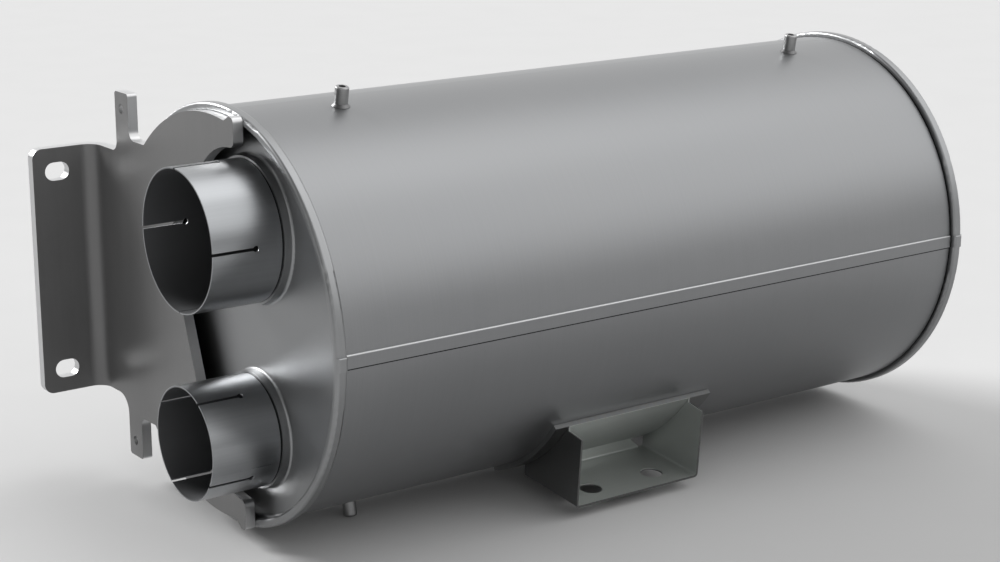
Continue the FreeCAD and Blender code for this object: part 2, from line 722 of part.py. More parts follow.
def make_boss(name, along, turn):
    """A turned boss with a blind threaded hole, welded on the shell by its foot."""
    body = new_body(name, along, "0", "0", turn)
    radius = size("boss_diameter") / 2
    foot = size("boss_foot")
    top = SHELL_OUT + size("boss_height")
    hole = size("boss_hole") / 2
    bottom = top - size("boss_hole_depth")
    base = SHELL_OUT - 1
    section = new_sketch(body, name + "_section", "XZ_Plane")
    corners = [
        (0, base, 0),
        (radius + foot, base, 0),
        (radius + foot, SHELL_OUT, 0),
        (radius, SHELL_OUT + foot, 0),
        (radius, top, size("boss_edge_radius")),
        (hole, top, 0),
        (hole, bottom, 0),
        (0, bottom - hole * 0.6, 0),
    ]
    draw_outline(section, corners)
    feature = body.newObject("PartDesign::Revolution", name + "_turn")
    feature.Profile = section
    feature.ReferenceAxis = (section, ["V_Axis"])
    feature.Angle = 360
    section.Visibility = False
    doc.recompute()
    seat = new_sketch(body, name + "_seat", "XZ_Plane")
    reach = 2 * radius + foot
    hollow = SHELL_OUT + GAP
    draw_outline(seat, [(-reach, 0, 0), (reach, 0, 0), (reach, hollow, 0), (-reach, hollow, 0)])
    groove(body, seat)


def make_baffle(name, place, holes, vents=False):
    """A dished disc with a turned rim, carrying what passes through its holes."""
    body = new_body(name, place)
    sheet_t = size("baffle_sheet")
    bend = size("baffle_bend_radius")
    flange = size("baffle_flange")
    section = new_sketch(body, name + "_section", "XZ_Plane")
    corners = [
        (0, 0, 0),
        (0, BAFFLE_OUT, bend + sheet_t),
        (flange, BAFFLE_OUT, 0),
        (flange, BAFFLE_OUT - sheet_t, 0),
        (sheet_t, BAFFLE_OUT - sheet_t, bend),
        (sheet_t, 0, 0),
    ]
    draw_outline(section, corners)
    revolve(body, section)
    cuts = new_sketch(body, name + "_holes", "YZ_Plane")
    for centre, radius in holes:
        draw_circle(cuts, centre, radius + GAP)
    cut_through(body, cuts)
    if not vents:
        return
    grid = new_sketch(body, name + "_vents", "YZ_Plane")
    pitch = size("baffle_vent_pitch")
    vent = size("baffle_vent") / 2
    reach = int(BAFFLE_OUT // pitch)
    for column in range(-reach, reach + 1):
        for line in range(-reach, reach + 1):
            centre = (column * pitch, line * pitch)
            inside = math.hypot(*centre) + 2 * vent < BAFFLE_OUT
            clear = all(math.dist(centre, at) > radius + 2 * vent for at, radius in holes)
            if inside and clear:
                draw_circle(grid, centre, vent)
    cut_through(body, grid)


def make_ring(name, along, length, inner, outer, centre=(0, 0)):
    """A plain round sleeve or, with no inner radius, a round bar."""
    body = new_body(name, along)
    section = new_sketch(body, name + "_ring", "YZ_Plane")
    draw_circle(section, centre, outer)
    if inner > 0:
        draw_circle(section, centre, inner)
    pad(body, section, length)
    return body


def can_centre(angle):
    turn = math.radians(size(angle))
    return (CAN_PLACE * math.cos(turn), CAN_PLACE * math.sin(turn))


def make_catalyst(side, centre):
    """A can across two baffles, with its ceramic monolith in a support mat."""
    run = "Sizes.baffle_mid_place - Sizes.baffle_near_place"
    make_ring("catalyst_can_" + side, "Sizes.baffle_near_place - Sizes.can_overhang",
              run + " + 2 * Sizes.can_overhang + Sizes.baffle_sheet", CAN_IN, CAN_OUT, centre)
    middle = "(Sizes.baffle_mid_place + Sizes.baffle_near_place - Sizes.brick_length) / 2"
    make_ring("support_mat_" + side, middle, "Sizes.brick_length",
              BRICK + GAP / 2, CAN_IN - GAP / 2, centre)
    make_ring("monolith_" + side, middle, "Sizes.brick_length", 0, BRICK, centre)


def make_outlet_tube(up):
    """The tube from the far chamber over the lower socket's inner end, slotted at its far end."""
    body = new_body("outlet_tube", "0", "-Sizes.pipe_offset", up)
    start = size("outlet_start")
    stop = LENGTH - size("outlet_stop")
    section = new_sketch(body, "outlet_ring", "YZ_Plane", (0, 0, start))
    draw_circle(section, (0, 0), OUTLET_OUT)
    draw_circle(section, (0, 0), OUTLET_IN)
    pad(body, section, "Sizes.drum_length - Sizes.outlet_stop - Sizes.outlet_start")
    pitch = size("outlet_slot_pitch")
    half = size("outlet_slot_width") / 2
    reach = size("outlet_slot_length") / 2
    slots = new_sketch(body, "outlet_slots", "XZ_Plane")
    for step in range(1, 3):
        place = stop - step * pitch
        corners = [(-reach, -half), (reach, -half), (reach, half), (-reach, half)]
        draw_outline(slots, [(place + along, up, 0) for along, up in corners])
    polar(body, cut_through(body, slots), 2, 90)


make_shell()
make_near_cap()
make_far_cap()
upper = "Sizes.shell_radius - Sizes.upper_inset"
lower = "Sizes.lower_inset - Sizes.shell_radius"
make_socket("upper_socket_pipe", upper, UPPER_OUT, 0)
make_socket("lower_socket_pipe", lower, LOWER_OUT, size("lower_slit_turn"))
make_plate()
make_cradle()
make_saddle_box()
make_boss("boss_top_near", "Sizes.boss_near", size("boss_angle"))
make_boss("boss_top_far", "Sizes.drum_length - Sizes.boss_far_inset", size("boss_angle"))
make_boss("boss_bottom", "Sizes.boss_near", 180 - size("boss_angle"))
outlet_hole = ((PIPE_Y, LOWER_Z), OUTLET_OUT)
left = can_centre("left_can_angle")
right = can_centre("right_can_angle")
can_holes = [(left, CAN_OUT), (right, CAN_OUT), outlet_hole]
make_baffle("baffle_near", "Sizes.baffle_near_place", can_holes)
make_baffle("baffle_mid", "Sizes.baffle_mid_place", can_holes)
make_baffle("baffle_far", "Sizes.drum_length - Sizes.baffle_far_inset", [outlet_hole], vents=True)
make_catalyst("left", left)
make_catalyst("right", right)
make_outlet_tube(lower)
make_ring("inner_liner", "Sizes.liner_inset", "Sizes.drum_length - 2 * Sizes.liner_inset",
          LINER_IN, LINER_OUT)
make_ring("insulation_mat", "Sizes.liner_inset", "Sizes.drum_length - 2 * Sizes.liner_inset",
          MAT_IN, MAT_OUT)

doc.recompute()
for item in doc.Objects:
    if "Invalid" in item.State or "Error" in item.State:
        raise RuntimeError("%s is %s" % (item.Name, item.State))
for body in bodies:
    shape = body.Shape
    if shape.isNull() or not shape.isValid() or len(shape.Solids) != 1:
        raise RuntimeError("%s has no valid single solid" % body.Label)
    shape.exportStep("parts/%s.step" % body.Label)
    print("%-20s %10.0f mm3" % (body.Label, shape.Volume))
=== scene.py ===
# %% [markdown]
# # A round truck muffler in satin steel
# This lesson dresses a finished CAD model. The shapes are already right, so almost all
# of the work is in three things: the camera, the light and the steel. We begin by
# loading the model and keeping its size, because Blender must not change it.

# %% Load the model
import math

import bpy
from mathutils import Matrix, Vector


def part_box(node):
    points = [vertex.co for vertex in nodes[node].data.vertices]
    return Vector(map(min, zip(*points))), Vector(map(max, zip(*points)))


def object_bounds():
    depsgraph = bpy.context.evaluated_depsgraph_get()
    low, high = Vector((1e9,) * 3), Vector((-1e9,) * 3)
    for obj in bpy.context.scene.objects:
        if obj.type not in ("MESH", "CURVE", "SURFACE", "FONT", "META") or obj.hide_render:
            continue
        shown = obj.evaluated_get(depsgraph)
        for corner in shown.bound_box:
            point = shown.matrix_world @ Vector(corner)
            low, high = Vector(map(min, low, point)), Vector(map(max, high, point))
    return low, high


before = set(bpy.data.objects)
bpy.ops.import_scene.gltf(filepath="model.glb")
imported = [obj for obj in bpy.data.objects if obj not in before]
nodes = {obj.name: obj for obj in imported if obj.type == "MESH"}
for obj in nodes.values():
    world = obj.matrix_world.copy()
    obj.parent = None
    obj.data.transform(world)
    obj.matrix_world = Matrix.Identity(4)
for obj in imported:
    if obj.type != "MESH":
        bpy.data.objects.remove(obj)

CAD_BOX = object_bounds()
MM = 0.001
print("nodes:", len(nodes))

# %% [markdown]
# ## The drum's axis
# The drum is what everything else is measured from. Its axis runs along X, so the height
# of the near cap's box gives the axis and the rim's radius. Across, the rim has a bump
# over the lock seam at the front, so there we count the radius in from the back. Reading
# these places from the model is safer than typing them in a second time.

# %% Find the drum
RIM_STEP = 5.3 * MM

near_low, near_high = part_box("near_end_cap")
AXIS_Z = (near_low.z + near_high.z) / 2
RIM_RADIUS = (near_high.z - near_low.z) / 2
AXIS_Y = near_high.y - RIM_RADIUS
SHELL_RADIUS = RIM_RADIUS - RIM_STEP
DRUM_START = near_low.x
DRUM_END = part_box("far_end_cap")[1].x
DRUM_CENTRE = Vector(((DRUM_START + DRUM_END) / 2, AXIS_Y, AXIS_Z))
print("rim radius %.1f mm" % (RIM_RADIUS / MM))
print("drum length %.1f mm" % ((DRUM_END - DRUM_START) / MM))

# %% [markdown]
# ## Camera
# The picture was taken from the front left and a little above, with a long lens, so
# that lines along the drum hardly meet. The place was worked out from the edges of the
# drum, both pipes and the plate. A long lens from two metres keeps the same drawing.

# %% Set the camera
CAMERA_PLACE = (-0.84206, -1.90756, 0.52536)
CAMERA_PITCH = 14.78
CAMERA_YAW = 35.91
CAMERA_LENS = 76.68
CAMERA_SENSOR = 36.0

camera_data = bpy.data.cameras.new("photo_camera")
camera_data.lens = CAMERA_LENS
camera_data.sensor_width = CAMERA_SENSOR
camera = bpy.data.objects.new("photo_camera", camera_data)
camera.location = CAMERA_PLACE
camera.rotation_euler = (math.radians(90 - CAMERA_PITCH), 0, math.radians(-CAMERA_YAW))
bpy.context.scene.collection.objects.link(camera)
bpy.context.scene.camera = camera
print("camera stands %.2f m from the drum" % (camera.location - DRUM_CENTRE).length)

# %% [markdown]
# ## Node helpers
# Every finish is a small graph of nodes. A few short helpers keep the graphs readable:
# they open a material, add a node with its inputs set, do one sum, draw one soft step or
# mix two colours, and each hands back the output that the next one takes.

# %% Helpers for node graphs
def new_material(name):
    """A new material with its node tree and its Principled shader."""
    material = bpy.data.materials.new(name)
    material.use_nodes = True
    tree = material.node_tree
    return material, tree, tree.nodes["Principled BSDF"]


def add(tree, kind, **inputs):
    """A node of that kind; inputs are given by name with _ for a space."""
    node = tree.nodes.new("ShaderNode" + kind)
    for name, value in inputs.items():
        node.inputs[name.replace("_", " ")].default_value = value
    return node


def math_node(tree, operation, first, second=None, clamp=False):
    """A Math node; each operand is a number or another node's output."""
    node = tree.nodes.new("ShaderNodeMath")
    node.operation = operation
    node.use_clamp = clamp
    for index, operand in enumerate((first, second)):
        if operand is None:
            continue
        if isinstance(operand, (int, float)):
            node.inputs[index].default_value = operand
        else:
            tree.links.new(operand, node.inputs[index])
    return node.outputs[0]


def smooth(tree, value, start, end, low, high):
    """A soft step: low before start, high after end."""
    node = add(tree, "MapRange", From_Min=start, From_Max=end, To_Min=low, To_Max=high)
    node.interpolation_type = "SMOOTHSTEP"
    tree.links.new(value, node.inputs["Value"])
    return node.outputs["Result"]


def mix_colors(tree, factor, first, second):
    """The first colour where the factor is 0 and the second where it is 1."""
    node = tree.nodes.new("ShaderNodeMix")
    node.data_type = "RGBA"
    tree.links.new(factor, node.inputs["Factor"])
    for label, color in (("A", first), ("B", second)):
        if isinstance(color, tuple):
            node.inputs[label].default_value = (*color, 1)
        else:
            tree.links.new(color, node.inputs[label])
    return node.outputs["Result"]


# %% [markdown]
# A group is a graph that several materials share. It has named sockets on both sides, so
# each material can turn its own dials without copying the graph.

# %% Helpers for node groups
def new_group(name, inputs, outputs):
    """A shader node group with named float, colour or vector sockets."""
    tree = bpy.data.node_groups.new(name, "ShaderNodeTree")
    for label, kind, value in inputs:
        socket = tree.interface.new_socket(
            label, in_out="INPUT", socket_type="NodeSocket" + kind)
        if value is not None:
            socket.default_value = value
    for label, kind in outputs:
        tree.interface.new_socket(label, in_out="OUTPUT", socket_type="NodeSocket" + kind)
    enter = tree.nodes.new("NodeGroupInput")
    leave = tree.nodes.new("NodeGroupOutput")
    return tree, enter, leave


def place_group(tree, group, **values):
    """The group as one node of a material, with its own values."""
    node = tree.nodes.new("ShaderNodeGroup")
    node.node_tree = group
    for name, value in values.items():
        node.inputs[name.replace("_", " ")].default_value = value
    return node


# %% [markdown]
# ## Masks
# Many finishes change with the place on the part: a bore is dull, a cut edge is bright. A
# mask is a number that is 1 where the second finish belongs and 0 elsewhere. All of them
# are worked out from the point's own coordinates, so they fit the model exactly and need
# no image. Two masks multiplied give the place where both hold, and the larger of the two
# gives the place where either does.

# %% Helpers for masks
def object_axes(tree):
    """Object coordinates in a material, taken apart into X, Y and Z."""
    place = add(tree, "TexCoord")
    axes = add(tree, "SeparateXYZ")
    tree.links.new(place.outputs["Object"], axes.inputs[0])
    return axes


def distance_from(tree, across, up, centre_across, centre_up):
    """The distance from an axis, measured in the plane across it."""
    first = math_node(tree, "SUBTRACT", across, centre_across)
    second = math_node(tree, "SUBTRACT", up, centre_up)
    square = math_node(tree, "ADD", math_node(tree, "MULTIPLY", first, first),
                       math_node(tree, "MULTIPLY", second, second))
    return math_node(tree, "SQRT", square)


def reach(tree, vector, direction):
    """How far a vector reaches along a fixed direction."""
    node = tree.nodes.new("ShaderNodeVectorMath")
    node.operation = "DOT_PRODUCT"
    node.inputs[1].default_value = direction
    tree.links.new(vector, node.inputs[0])
    return node.outputs["Value"]


def all_of(tree, first, *others):
    """1 where every one of the masks is 1."""
    for mask in others:
        first = math_node(tree, "MULTIPLY", first, mask)
    return first


def any_of(tree, first, *others):
    """1 where at least one of the masks is 1."""
    for mask in others:
        first = math_node(tree, "MAXIMUM", first, mask)
    return first


def stripe(tree, value, start, width):
    """1 where the value lies from start to start + width."""
    after = math_node(tree, "GREATER_THAN", value, start)
    before = math_node(tree, "LESS_THAN", value, start + width)
    return all_of(tree, after, before)


# %% [markdown]
# Two more helpers put a mask to use. They take whatever feeds the shader so far, change it
# where the mask is 1 and feed it back, so several masks can be laid one over the other.

# %% Helpers that paint by a mask
def paint(tree, mask, color):
    """Lays a colour over the steel where the mask is 1."""
    socket = tree.nodes["Principled BSDF"].inputs["Base Color"]
    under = socket.links[0].from_socket
    tree.links.new(mix_colors(tree, mask, under, color), socket)


def roughen(tree, mask, roughness):
    """Raises the steel's roughness to at least this value where the mask is 1."""
    socket = tree.nodes["Principled BSDF"].inputs["Roughness"]
    under = socket.links[0].from_socket
    lifted = math_node(tree, "MULTIPLY", mask, roughness)
    tree.links.new(math_node(tree, "MAXIMUM", under, lifted), socket)


# %% [markdown]
# ## The grain of rolled and drawn steel
# Sheet and tube leave the mill with fine lines along the way they were rolled or drawn,
# and with faint cloudy patches. Both are noise: the lines are noise squeezed hard in one
# direction, the patches are the same noise left round and large. One group makes both
# and hands back a colour, a roughness and a height, so that every metal can use it. Noise
# seldom strays more than a quarter from its middle, so four times that fills the range.

# %% The steel finish group
NOISE_REACH = 4.0


def make_steel_group():
    """Grain and clouds for any steel, as a colour, a roughness and a height."""
    group, enter, leave = new_group(
        "steel_finish",
        [
            ("Vector", "Vector", None),
            ("Color", "Color", (0.3, 0.3, 0.3, 1)),
            ("Tint", "Color", (0.3, 0.3, 0.3, 1)),
            ("Grain Stretch", "Vector", (400, 8, 8)),
            ("Grain Amount", "Float", 0.05),
            ("Cloud Scale", "Float", 6.0),
            ("Cloud Amount", "Float", 0.3),
            ("Roughness", "Float", 0.4),
            ("Roughness Spread", "Float", 0.06),
        ],
        [("Color", "Color"), ("Roughness", "Float"), ("Height", "Float")],
    )
    link = group.links.new
    stretched = group.nodes.new("ShaderNodeVectorMath")
    stretched.operation = "MULTIPLY"
    link(enter.outputs["Vector"], stretched.inputs[0])
    link(enter.outputs["Grain Stretch"], stretched.inputs[1])
    grain = add(group, "TexNoise", Scale=1.0, Detail=3.0, Roughness=0.6)
    link(stretched.outputs[0], grain.inputs["Vector"])
    cloud = add(group, "TexNoise", Detail=4.0, Roughness=0.55)
    link(enter.outputs["Vector"], cloud.inputs["Vector"])
    link(enter.outputs["Cloud Scale"], cloud.inputs["Scale"])
    grain_centred = math_node(group, "SUBTRACT", grain.outputs["Fac"], 0.5)
    cloud_centred = math_node(group, "SUBTRACT", cloud.outputs["Fac"], 0.5)

    blend = math_node(group, "MULTIPLY", cloud_centred, enter.outputs["Cloud Amount"])
    blend = math_node(group, "MULTIPLY", blend, NOISE_REACH)
    blend = math_node(group, "ADD", blend, 0.5, clamp=True)
    tinted = mix_colors(group, blend, enter.outputs["Color"], enter.outputs["Tint"])
    lines = math_node(group, "MULTIPLY", grain_centred, enter.outputs["Grain Amount"])
    lines = math_node(group, "MULTIPLY", lines, NOISE_REACH)
    lines = math_node(group, "ADD", lines, 1.0)
    shade = group.nodes.new("ShaderNodeVectorMath")
    shade.operation = "SCALE"
    link(tinted, shade.inputs[0])
    link(lines, shade.inputs["Scale"])
    link(shade.outputs[0], leave.inputs["Color"])

    both = math_node(group, "ADD", grain_centred, cloud_centred)
    spread = math_node(group, "MULTIPLY", both, enter.outputs["Roughness Spread"])
    spread = math_node(group, "MULTIPLY", spread, NOISE_REACH / 2)
    rough = math_node(group, "ADD", spread, enter.outputs["Roughness"], clamp=True)
    link(rough, leave.inputs["Roughness"])
    link(grain.outputs["Fac"], leave.inputs["Height"])
    return group


STEEL_FINISH = make_steel_group()
print("steel finish has", len(STEEL_FINISH.nodes), "nodes")

# %% [markdown]
# A steel is the same recipe each time: the group feeds the colour and the roughness of a
# metallic shader, and its grain gives a bump of a few hundredths of a millimetre. Only
# the numbers change from sheet to tube to plate.

# %% From the group to a steel
GRAIN_BUMP = 0.25


def steel_material(name, color, tint, stretch, rough, grain=0.05, spread=0.05,
                   cloud=6.0, cloud_amount=0.3, height=0.02):
    """Bare steel: the finish group feeds a metallic Principled shader."""
    material, tree, shader = new_material(name)
    shader.inputs["Metallic"].default_value = 1.0
    place = add(tree, "TexCoord")
    finish = place_group(
        tree, STEEL_FINISH, Color=(*color, 1), Tint=(*tint, 1), Grain_Stretch=stretch,
        Grain_Amount=grain, Cloud_Scale=cloud, Cloud_Amount=cloud_amount,
        Roughness=rough, Roughness_Spread=spread)
    bump = add(tree, "Bump", Strength=GRAIN_BUMP, Distance=height * MM)
    tree.links.new(place.outputs["Object"], finish.inputs["Vector"])
    tree.links.new(finish.outputs["Color"], shader.inputs["Base Color"])
    tree.links.new(finish.outputs["Roughness"], shader.inputs["Roughness"])
    tree.links.new(finish.outputs["Height"], bump.inputs["Height"])
    tree.links.new(bump.outputs["Normal"], shader.inputs["Normal"])
    return material


def dress(material, *names):
    """Gives the CAD nodes that material in every slot they have."""
    for name in names:
        for slot in nodes[name].material_slots:
            slot.material = material
        print(name, "wears", material.name)


# %% [markdown]
# ## The drum
# The shell is thin sheet rolled into a tube, so its grain goes round the drum: the noise
# is squeezed along X and left long in Y and Z. The caps are drawn from the same sheet.
# A roughness near 0.4 spreads each reflection into a soft band, as satin steel does.

# %% Shell and caps
shell_steel = steel_material(
    "shell_steel", (0.235, 0.24, 0.247), (0.265, 0.268, 0.272), (900, 5, 5),
    rough=0.40, grain=0.03, cloud=4.0)
dress(shell_steel, "shell_wrap")
cap_steel = steel_material(
    "cap_steel", (0.265, 0.269, 0.274), (0.295, 0.299, 0.303), (500, 14, 14),
    rough=0.38, grain=0.03, cloud=7.0)
dress(cap_steel, "near_end_cap", "far_end_cap")

# %% [markdown]
# ## Lines where sheet meets sheet
# Along the foot of the lock seam and of both rolled rims, a thin dark line of painted
# shade stands for the shade in the narrow gap there. The top fold of the seam gets the
# opposite, a thin line of painted highlight where its tight bend catches the light. Both
# lines follow the drum, so each is a comparison of one coordinate with the place of the
# seam or the rim.

# %% Painted shade at the feet and a painted highlight on the seam's fold
RIM_WIDTH = 11.0 * MM
SEAM_BELOW_AXIS = 5.0 * MM
SEAM_ABOVE_AXIS = 7.5 * MM
SEAM_FOOT = AXIS_Z - SEAM_BELOW_AXIS
SEAM_TOP = AXIS_Z + SEAM_ABOVE_AXIS
FOOT_WIDTH = 1.5 * MM
FOLD_WIDTH = 1.3 * MM
# Painted shade for the seam, rim and collar gaps; painted highlight for the seam's fold.
PAINTED_GAP_SHADE = (0.02, 0.02, 0.021)
PAINTED_FOLD_HIGHLIGHT = (0.47, 0.475, 0.48)


def paint_seam_shade_and_highlight(material):
    """Painted shade lines at the feet of seam and rims, a painted highlight on the seam's
    fold.
    """
    tree = material.node_tree
    axes = object_axes(tree)
    x, y, z = (axes.outputs[name] for name in "XYZ")
    seam_side = math_node(tree, "LESS_THAN", y, AXIS_Y)
    fold_highlight = stripe(tree, z, SEAM_TOP - FOLD_WIDTH, FOLD_WIDTH)
    seam_foot = stripe(tree, z, SEAM_FOOT - FOOT_WIDTH, FOOT_WIDTH)
    near_foot = math_node(tree, "LESS_THAN", x, DRUM_START + RIM_WIDTH + FOOT_WIDTH)
    far_foot = math_node(tree, "GREATER_THAN", x, DRUM_END - RIM_WIDTH - FOOT_WIDTH)
    shaded_feet = any_of(tree, all_of(tree, seam_side, seam_foot), near_foot, far_foot)
    # Painted highlight along the seam's top fold.
    paint(tree, all_of(tree, seam_side, fold_highlight), PAINTED_FOLD_HIGHLIGHT)
    # Painted shade as dark lines at the feet of the seam and rims.
    paint(tree, shaded_feet, PAINTED_GAP_SHADE)


paint_seam_shade_and_highlight(shell_steel)
print("seam from %.1f to %.1f mm" % (SEAM_FOOT / MM, SEAM_TOP / MM))

# %% [markdown]
# ## The sockets
# Drawn tube is brighter and smoother than the sheet, and its lines run along the pipe.
# Here the noise stays long in X and is squeezed in the other two directions. The bore is
# never polished, so it is rougher, and its colour is painted darker as painted shade
# inside the pipe. A mask tells the two sides of the wall apart: it measures the distance
# from each pipe's axis and turns dark inside the wall. A thin dark ring of painted shade
# stands for the shade in the gap where the collar drawn out of the cap grips each socket.

# %% Pipe sockets
SOCKET_WALL = 1.5 * MM
# Painted shade inside the pipes; the higher roughness is the bore's own.
BORE_PAINTED_SHADE = (0.16, 0.163, 0.168)
BORE_ROUGHNESS = 0.6
LIP_INSET = 3.0 * MM
LIP_LINE = 1.2 * MM
COLLAR_LIP = DRUM_START + LIP_INSET


def bore_mask(tree, axes, name):
    """1 inside the middle of that pipe's wall and 0 outside it."""
    low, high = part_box(name)
    middle = (low + high) / 2
    outside = (high.z - low.z) / 2
    radius = distance_from(tree, axes.outputs["Y"], axes.outputs["Z"], middle.y, middle.z)
    print(name, "outside radius %.1f mm" % (outside / MM))
    return math_node(tree, "LESS_THAN", radius, outside - SOCKET_WALL / 2)


def finish_sockets(material, *names):
    """Bores painted dark as shade and made rougher, and a painted shade line where each
    collar's lip meets its socket.
    """
    tree = material.node_tree
    axes = object_axes(tree)
    lip_shade = stripe(tree, axes.outputs["X"], COLLAR_LIP - LIP_LINE, LIP_LINE)
    bores = any_of(tree, *[bore_mask(tree, axes, name) for name in names])
    # Painted shade as a dark ring at each collar's lip.
    paint(tree, lip_shade, PAINTED_GAP_SHADE)
    # Painted shade darkens the bores.
    paint(tree, bores, BORE_PAINTED_SHADE)
    roughen(tree, bores, BORE_ROUGHNESS)


socket_steel = steel_material(
    "socket_steel", (0.31, 0.32, 0.332), (0.345, 0.352, 0.36), (6, 420, 420),
    rough=0.31, grain=0.04, cloud=12.0)
finish_sockets(socket_steel, "upper_socket_pipe", "lower_socket_pipe")
dress(socket_steel, "upper_socket_pipe", "lower_socket_pipe")

# %% [markdown]
# ## The mounting plate
# Ten millimetre plate is hot rolled: its faces are dark and dull, but every edge and hole
# is cut by laser after rolling and shines. To find the cut, we measure how deep a point
# lies in the bent sheet. Its middle goes straight down the plate, round the bend and out
# along the flange, so its distance from the bend's axis is one short formula. A point at
# half the thickness is on a face, and anything less is on a cut edge. The rolled scale is
# an oxide, so only about half of it behaves like metal.

# %% Mounting plate
PLATE_THICKNESS = 10.0 * MM
BEND_INSIDE = 15.0 * MM
FACE_MARGIN = 0.1 * MM
SCALE_METALLIC = 0.55
CUT_COLOR = (0.54, 0.542, 0.545)

plate_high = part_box("mounting_plate")[1]
BEND_X = plate_high.x - PLATE_THICKNESS - BEND_INSIDE
BEND_Y = plate_high.y - PLATE_THICKNESS - BEND_INSIDE
print("bend axis at %.1f, %.1f mm" % (BEND_X / MM, BEND_Y / MM))


def cut_edge_mask(tree, axes):
    """1 on the plate's cut edges and holes, 0 on its rolled faces."""
    along = math_node(tree, "MAXIMUM", axes.outputs["X"], BEND_X)
    across = math_node(tree, "MAXIMUM", axes.outputs["Y"], BEND_Y)
    radius = distance_from(tree, along, across, BEND_X, BEND_Y)
    depth = math_node(tree, "SUBTRACT", radius, BEND_INSIDE + PLATE_THICKNESS / 2)
    depth = math_node(tree, "ABSOLUTE", depth)
    return math_node(tree, "LESS_THAN", depth, PLATE_THICKNESS / 2 - FACE_MARGIN)


def brighten_cuts(material):
    """Mixes the bright cut into the rolled plate."""
    tree = material.node_tree
    mask = cut_edge_mask(tree, object_axes(tree))
    paint(tree, mask, CUT_COLOR)
    metal = math_node(tree, "MAXIMUM", mask, SCALE_METALLIC)
    tree.links.new(metal, tree.nodes["Principled BSDF"].inputs["Metallic"])


plate_steel = steel_material(
    "plate_steel", (0.158, 0.158, 0.159), (0.185, 0.184, 0.183), (120, 120, 9),
    rough=0.36, grain=0.04, cloud=9.0, height=0.03)
brighten_cuts(plate_steel)
dress(plate_steel, "mounting_plate")

# %% [markdown]
# ## The saddle
# The saddle is bent from sheet, so its grain runs straight along the drum. Outside it is
# dark steel. The pocket of the box is painted lighter and a little greener: this is
# painted light, a lit copy of the same steel. A mask keeps the two apart: it is 1 only
# between the walls, above the floor and behind the sheet's cut front edges, which stay as
# dark as the outside. The whole saddle is tilted a little about the drum, so forward and
# upward are measured along its own walls.
# A thin film left from pressing keeps the pocket from acting fully like bare metal.

# %% Saddle box
BOX_SHEET = 2.0 * MM
# Painted light: the pocket's lighter colour.
PAINTED_POCKET_LIGHT = (0.45, 0.47, 0.455)
POCKET_METALLIC = 0.7
EDGE_MARGIN = 0.2 * MM
SADDLE_TILT = math.radians(5.5)
FORWARD = Vector((0, -math.cos(SADDLE_TILT), -math.sin(SADDLE_TILT)))
UPWARD = Vector((0, -math.sin(SADDLE_TILT), math.cos(SADDLE_TILT)))

box_points = [vertex.co for vertex in nodes["saddle_box"].data.vertices]
BOX_FRONT = max(point.dot(FORWARD) for point in box_points)
BOX_BOTTOM = min(point.dot(UPWARD) for point in box_points)


def pocket_mask(tree, axes):
    """1 inside the saddle box, between its two walls and above its floor."""
    low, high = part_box("saddle_box")
    half = (high.x - low.x) / 2 - BOX_SHEET / 2
    off_centre = math_node(tree, "SUBTRACT", axes.outputs["X"], (low.x + high.x) / 2)
    off_centre = math_node(tree, "ABSOLUTE", off_centre)
    between_walls = math_node(tree, "LESS_THAN", off_centre, half)
    place = add(tree, "TexCoord").outputs["Object"]
    over_floor = math_node(
        tree, "GREATER_THAN", reach(tree, place, UPWARD), BOX_BOTTOM + BOX_SHEET / 2)
    behind_edge = math_node(
        tree, "LESS_THAN", reach(tree, place, FORWARD), BOX_FRONT - EDGE_MARGIN)
    print("saddle pocket %.1f mm wide" % (2 * half / MM))
    return all_of(tree, between_walls, over_floor, behind_edge)


def paint_pocket_light(tree, mask):
    """Paints light into the pocket: a lighter colour and less metal over the dark saddle
    steel.
    """
    # Painted light: the pocket gets a lighter colour than the shaded outside.
    paint(tree, mask, PAINTED_POCKET_LIGHT)
    metal = smooth(tree, mask, 0.0, 1.0, 1.0, POCKET_METALLIC)
    tree.links.new(metal, tree.nodes["Principled BSDF"].inputs["Metallic"])


box_steel = steel_material(
    "box_steel", (0.15, 0.153, 0.152), (0.18, 0.183, 0.181), (6, 380, 380),
    rough=0.40, grain=0.05, cloud=11.0)
tree = box_steel.node_tree
paint_pocket_light(tree, pocket_mask(tree, object_axes(tree)))
dress(box_steel, "saddle_box")

# %% [markdown]
# The cradle follows the drum, so its underside lies at one distance from the drum's axis.
# Only that face gets the painted light inside the pocket; the cut edges round it stay one
# even grey.

# %% Saddle cradle
SEAT_GAP = 0.1 * MM
CRADLE_SHEET = 5.0 * MM
CRADLE_RADIUS = SHELL_RADIUS + SEAT_GAP + CRADLE_SHEET
UNDERSIDE_MARGIN = 0.3 * MM
CRADLE_EDGE_COLOR = (0.27, 0.273, 0.272)


def underside_mask(tree, axes):
    """1 on the cradle's outer face, 0 on its edges and its inner face."""
    radius = distance_from(tree, axes.outputs["Y"], axes.outputs["Z"], AXIS_Y, AXIS_Z)
    return math_node(tree, "GREATER_THAN", radius, CRADLE_RADIUS - UNDERSIDE_MARGIN)


cradle_steel = steel_material(
    "cradle_steel", (0.16, 0.163, 0.162), (0.19, 0.193, 0.191), (6, 380, 380),
    rough=0.40, grain=0.05, cloud=11.0)
tree = cradle_steel.node_tree
axes = object_axes(tree)
under = underside_mask(tree, axes)
paint(tree, math_node(tree, "SUBTRACT", 1.0, under), CRADLE_EDGE_COLOR)
# Painted light on the cradle's underside inside the pocket.
paint_pocket_light(tree, all_of(tree, under, pocket_mask(tree, axes)))
dress(cradle_steel, "saddle_cradle")
print("cradle underside at radius %.1f mm" % (CRADLE_RADIUS / MM))

